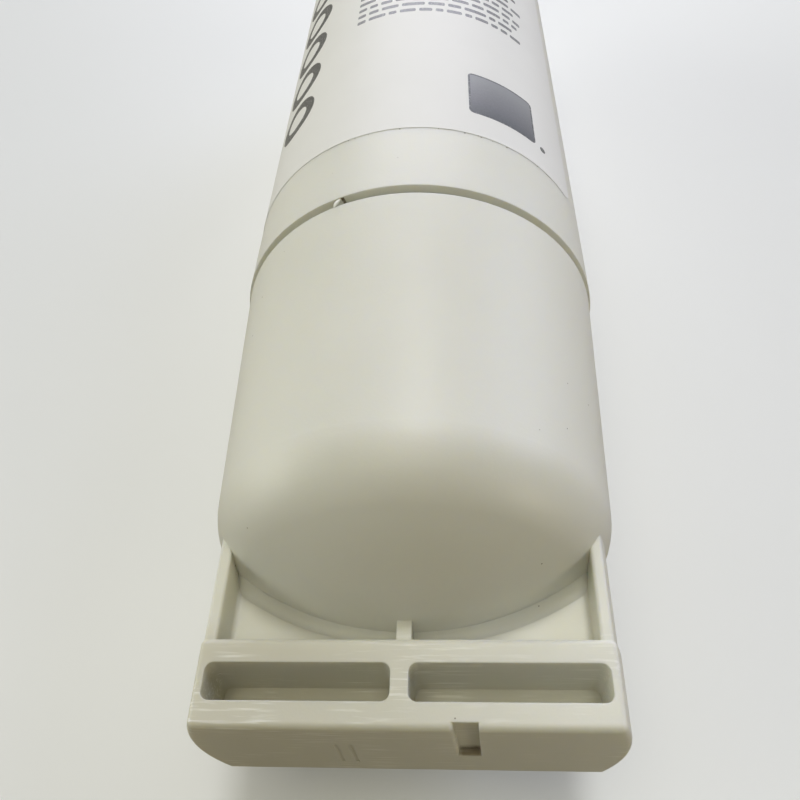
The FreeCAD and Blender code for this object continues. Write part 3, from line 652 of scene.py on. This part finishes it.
def makeNitrileRubber():
    material, tree = newMaterial("mouldedNitrileRubber")
    place = addNode(tree, "ShaderNodeTexCoord").outputs["Object"]
    dusty = addNode(tree, "ShaderNodeTexNoise", {"Vector": place, "Scale": 1 / seals["dustSize"],
                                                 "Detail": 4.0})
    skin = addNode(tree, "ShaderNodeTexNoise", {"Vector": place, "Scale": 1 / seals["skinSize"],
                                                "Detail": 2.0})
    coat = addNode(tree, "ShaderNodeMapRange", {
        "Value": dusty.outputs[0], 1: seals["dustRange"][0], 2: seals["dustRange"][1],
        3: 0.0, 4: seals["dustMost"]})
    tint = addNode(tree, "ShaderNodeMixRGB", {0: coat.outputs[0], 1: toLinear(seals["black"]),
                                              2: toLinear(seals["dust"])})
    shine = addNode(tree, "ShaderNodeMapRange", {
        "Value": dusty.outputs[0], 1: seals["shineRange"][0], 2: seals["shineRange"][1],
        3: seals["roughness"][0], 4: seals["roughness"][1]})
    bump = addNode(tree, "ShaderNodeBump", {"Height": skin.outputs[0], "Strength": seals["skinStrength"],
                                            "Distance": seals["skinDepth"]})
    shader = addNode(tree, "ShaderNodeBsdfPrincipled", {
        "Base Color": tint.outputs[0], "Roughness": shine.outputs[0], "Normal": bump.outputs[0],
        "IOR": seals["ior"]})
    addNode(tree, "ShaderNodeOutputMaterial", {"Surface": shader.outputs[0]})
    return material


nitrileRubber = makeNitrileRubber()
for name in ("neck_o_ring", "nose_o_rings", "stub_o_ring"):
    useMaterial(nodes[name], nitrileRubber)


# Filter block: activated carbon grains pressed with a binder, dull black and crumbly
carbon = {
    "black": "#1E1E1F",
    "grain": "#37373A",
    "roughness": (0.75, 0.95),
    "grainSize": 0.9 * mm,
    "grainDepth": 0.2 * mm,
    "grainStrength": 0.6,
}


def makePressedCarbon():
    material, tree = newMaterial("pressedActivatedCarbon")
    place = addNode(tree, "ShaderNodeTexCoord").outputs["Object"]
    grains = addNode(tree, "ShaderNodeTexVoronoi", {"Vector": place, "Scale": 1 / carbon["grainSize"]})
    tint = addNode(tree, "ShaderNodeMixRGB", {0: grains.outputs["Distance"], 1: toLinear(carbon["black"]),
                                              2: toLinear(carbon["grain"])})
    rough = addNode(tree, "ShaderNodeMapRange", {
        "Value": grains.outputs["Distance"], 3: carbon["roughness"][0], 4: carbon["roughness"][1]})
    bump = addNode(tree, "ShaderNodeBump", {
        "Height": grains.outputs["Distance"], "Strength": carbon["grainStrength"],
        "Distance": carbon["grainDepth"]})
    shader = addNode(tree, "ShaderNodeBsdfPrincipled", {
        "Base Color": tint.outputs[0], "Roughness": rough.outputs[0], "Normal": bump.outputs[0]})
    addNode(tree, "ShaderNodeOutputMaterial", {"Surface": shader.outputs[0]})
    return material


useMaterial(nodes["carbon_block"], makePressedCarbon())


# Wrap: spun polypropylene fleece, white and fibrous
fleece = {
    "white": "#E4E4DF",
    "shade": "#C9C9C2",
    "roughness": (0.8, 0.98),
    "sheen": 0.2,
    "fibreWidth": 0.25 * mm,
    "fibreLength": 5 * mm,
    "fibreWander": 0.8,
    "fibreDepth": 0.3 * mm,
    "fibreStrength": 0.5,
}


def makeSpunFleece():
    material, tree = newMaterial("spunPolypropyleneFleece")
    place = addNode(tree, "ShaderNodeTexCoord").outputs["Object"]
    stretch = addNode(tree, "ShaderNodeMapping", {
        "Vector": place,
        "Scale": (1 / fleece["fibreLength"], 1 / fleece["fibreWidth"], 1 / fleece["fibreLength"])})
    fibres = addNode(tree, "ShaderNodeTexNoise", {"Vector": stretch.outputs[0], "Scale": 1.0, "Detail": 4.0,
                                                  "Distortion": fleece["fibreWander"]})
    tint = addNode(tree, "ShaderNodeMixRGB", {0: fibres.outputs[0], 1: toLinear(fleece["shade"]),
                                              2: toLinear(fleece["white"])})
    rough = addNode(tree, "ShaderNodeMapRange", {
        "Value": fibres.outputs[0], 3: fleece["roughness"][0], 4: fleece["roughness"][1]})
    bump = addNode(tree, "ShaderNodeBump", {"Height": fibres.outputs[0], "Strength": fleece["fibreStrength"],
                                            "Distance": fleece["fibreDepth"]})
    shader = addNode(tree, "ShaderNodeBsdfPrincipled", {
        "Base Color": tint.outputs[0], "Roughness": rough.outputs[0], "Normal": bump.outputs[0],
        "Sheen Weight": fleece["sheen"]})
    addNode(tree, "ShaderNodeOutputMaterial", {"Surface": shader.outputs[0]})
    return material


useMaterial(nodes["fleece_wrap"], makeSpunFleece())


# Block caps: natural polypropylene, moulded, whiter and glossier than the housing
blockCaps = {
    "white": "#E6E6E1",
    "shade": "#DADAD2",
    "roughness": (0.3, 0.42),
    "ior": 1.49,
    "waxiness": 0.15,
    "waxDepth": 2 * mm,
    "waxTint": (1.0, 0.9, 0.7),
    "cloudSize": 10 * mm,
    "cloudRange": (0.3, 0.7),
    "grainSize": 0.4 * mm,
    "grainDepth": 0.05 * mm,
    "grainStrength": 0.1,
}


def makeWhitePolypropylene():
    material, tree = newMaterial("whiteMouldedPolypropylene")
    place = addNode(tree, "ShaderNodeTexCoord").outputs["Object"]
    clouds = addNode(tree, "ShaderNodeTexNoise", {"Vector": place, "Scale": 1 / blockCaps["cloudSize"]})
    grain = addNode(tree, "ShaderNodeTexNoise", {"Vector": place, "Scale": 1 / blockCaps["grainSize"]})
    tint = addNode(tree, "ShaderNodeMixRGB", {0: clouds.outputs[0], 1: toLinear(blockCaps["shade"]),
                                              2: toLinear(blockCaps["white"])})
    shine = addNode(tree, "ShaderNodeMapRange", {
        "Value": clouds.outputs[0], 1: blockCaps["cloudRange"][0], 2: blockCaps["cloudRange"][1],
        3: blockCaps["roughness"][0], 4: blockCaps["roughness"][1]})
    bump = addNode(tree, "ShaderNodeBump", {
        "Height": grain.outputs[0], "Strength": blockCaps["grainStrength"],
        "Distance": blockCaps["grainDepth"]})
    shader = addNode(tree, "ShaderNodeBsdfPrincipled", {
        "Base Color": tint.outputs[0], "Roughness": shine.outputs[0], "Normal": bump.outputs[0],
        "IOR": blockCaps["ior"], "Subsurface Weight": blockCaps["waxiness"],
        "Subsurface Radius": blockCaps["waxTint"], "Subsurface Scale": blockCaps["waxDepth"]})
    addNode(tree, "ShaderNodeOutputMaterial", {"Surface": shader.outputs[0]})
    return material


whitePolypropylene = makeWhitePolypropylene()
for name in ("lower_block_cap", "upper_block_cap"):
    useMaterial(nodes[name], whitePolypropylene)
print("inside pieces dressed")


# Table: pale laminate, only the stage. What it throws back on the object is dimmer and warmer than it looks,
# so that faces turned down stay dark. Far off it fades into the plain background.
table = {
    "size": 60.0,
    "drop": 0.05 * mm,            # so far under the cartridge
    "white": "#EEF0F1",
    "shade": "#EAECED",
    "bounce": "#A69F8F",
    "background": "#EEEEEE",
    "roughness": 0.55,
    "cloudSize": 120 * mm,
    "fade": (0.4, 1.3),
}


def makeTable():
    material, tree = newMaterial("paleLaminate")
    place = addNode(tree, "ShaderNodeTexCoord").outputs["Object"]
    clouds = addNode(tree, "ShaderNodeTexNoise", {"Vector": place, "Scale": 1 / table["cloudSize"]})
    tint = addNode(tree, "ShaderNodeMixRGB", {0: clouds.outputs[0], 1: toLinear(table["white"]),
                                              2: toLinear(table["shade"])})
    ray = addNode(tree, "ShaderNodeLightPath")
    seen = addNode(tree, "ShaderNodeMixRGB", {0: ray.outputs["Is Camera Ray"], 1: toLinear(table["bounce"]),
                                              2: tint.outputs[0]})
    top = addNode(tree, "ShaderNodeBsdfPrincipled", {"Base Color": seen.outputs[0],
                                                     "Roughness": table["roughness"]})
    away = addNode(tree, "ShaderNodeVectorMath", {0: place}, operation="LENGTH")
    fade = addNode(tree, "ShaderNodeMapRange", {"Value": away.outputs["Value"], 1: table["fade"][0],
                                                2: table["fade"][1]}, interpolation_type="SMOOTHSTEP")
    seenFade = addNode(tree, "ShaderNodeMath", {0: fade.outputs[0], 1: ray.outputs["Is Camera Ray"]},
                       operation="MULTIPLY")
    plain = addNode(tree, "ShaderNodeEmission", {"Color": toLinear(table["background"]), "Strength": 1.0})
    surface = addNode(tree, "ShaderNodeMixShader", {0: seenFade.outputs[0], 1: top.outputs[0],
                                                    2: plain.outputs[0]})
    addNode(tree, "ShaderNodeOutputMaterial", {"Surface": surface.outputs[0]})
    half = table["size"] / 2
    corners = [(-half, -half, 0), (half, -half, 0), (half, half, 0), (-half, half, 0)]
    data = bpy.data.meshes.new("table")
    data.from_pydata(corners, [], [(0, 1, 2, 3)])
    sheet = bpy.data.objects.new("table", data)
    sheet.location.z = -table["drop"]
    bpy.context.scene.collection.objects.link(sheet)
    useMaterial(sheet, material)


makeTable()


# Light: a wide window low behind, a small skylight, soft boxes above and at the sides,
# and a dim warm one low at the right in front
lamps = {
    "target": Vector((0.0, -0.04, 0.03)),
    "distance": 3.0,
    "boxes": {                     # turn from behind towards +X, height, width, strength in watts, colour
        "window": (0, 19, 2.25, 50.5, "#ECEDFF"),
        "skylight": (12, 66, 0.6, 24.5, "#FFFFFC"),
        "ceiling": (180, 80, 2.25, 28.0, "#FFF9DC"),
        "rightWall": (55, 24, 2.25, 31.0, "#D7E0FF"),
        "leftWall": (270, 10, 2.25, 45.0, "#FDFFF4"),
        "rightFront": (120, 12, 1.0, 12.5, "#FFF5D7"),
    },
    "room": "#E9DFC6",
    "roomStrength": 0.01,
}


def makeLight():
    for name, (turn, height, width, watts, colour) in lamps["boxes"].items():
        turn = math.radians(turn)
        height = math.radians(height)
        level = math.cos(height)
        side = Vector((math.sin(turn) * level, math.cos(turn) * level, math.sin(height)))
        data = bpy.data.lights.new(name, "AREA")
        data.shape = "DISK"
        data.size = width
        data.energy = watts
        data.color = toLinear(colour)[:3]
        lamp = bpy.data.objects.new(name, data)
        lamp.location = lamps["target"] + side * lamps["distance"]
        lamp.rotation_euler = (-side).to_track_quat("-Z", "Y").to_euler()
        bpy.context.scene.collection.objects.link(lamp)
    world = bpy.data.worlds.new("softRoom")
    world.use_nodes = True
    tree = world.node_tree
    tree.nodes.clear()
    glow = addNode(tree, "ShaderNodeBackground", {"Color": toLinear(lamps["room"]),
                                                  "Strength": lamps["roomStrength"]})
    plain = addNode(tree, "ShaderNodeBackground", {"Color": toLinear(table["background"]), "Strength": 1.0})
    ray = addNode(tree, "ShaderNodeLightPath")
    shown = addNode(tree, "ShaderNodeMixShader", {0: ray.outputs["Is Camera Ray"], 1: glow.outputs[0],
                                                  2: plain.outputs[0]})
    addNode(tree, "ShaderNodeOutputWorld", {"Surface": shown.outputs[0]})
    bpy.context.scene.world = world


makeLight()


# Camera: the photograph's view, from above the grip
view = {
    "place": Vector((9.294, -144.643, 145.726)) * mm,
    "down": math.radians(52.255),
    "aside": math.radians(-8.065),
    "roll": math.radians(7.776),
    "lens": 35.996,               # lens and sensor are in millimetres
    "sensor": 36,
    "nearest": 0.01,              # in metres, what is closer is not drawn
}


def makeCamera():
    down, aside, roll = view["down"], view["aside"], view["roll"]
    forward = Vector((math.sin(aside) * math.cos(down), math.cos(aside) * math.cos(down), -math.sin(down)))
    level = Vector((math.cos(aside), -math.sin(aside), 0))
    below = forward.cross(level)
    right = math.cos(roll) * level + math.sin(roll) * below
    up = math.sin(roll) * level - math.cos(roll) * below
    data = bpy.data.cameras.new("camera")
    data.lens = view["lens"]
    data.sensor_width = view["sensor"]
    data.clip_start = view["nearest"]
    camera = bpy.data.objects.new("camera", data)
    turned = Matrix((right, up, -forward)).transposed().to_4x4()
    camera.matrix_world = Matrix.Translation(view["place"]) @ turned
    bpy.context.scene.collection.objects.link(camera)
    bpy.context.scene.camera = camera


makeCamera()
bpy.context.scene.view_settings.view_transform = "Standard"
print("stage, light and camera set")
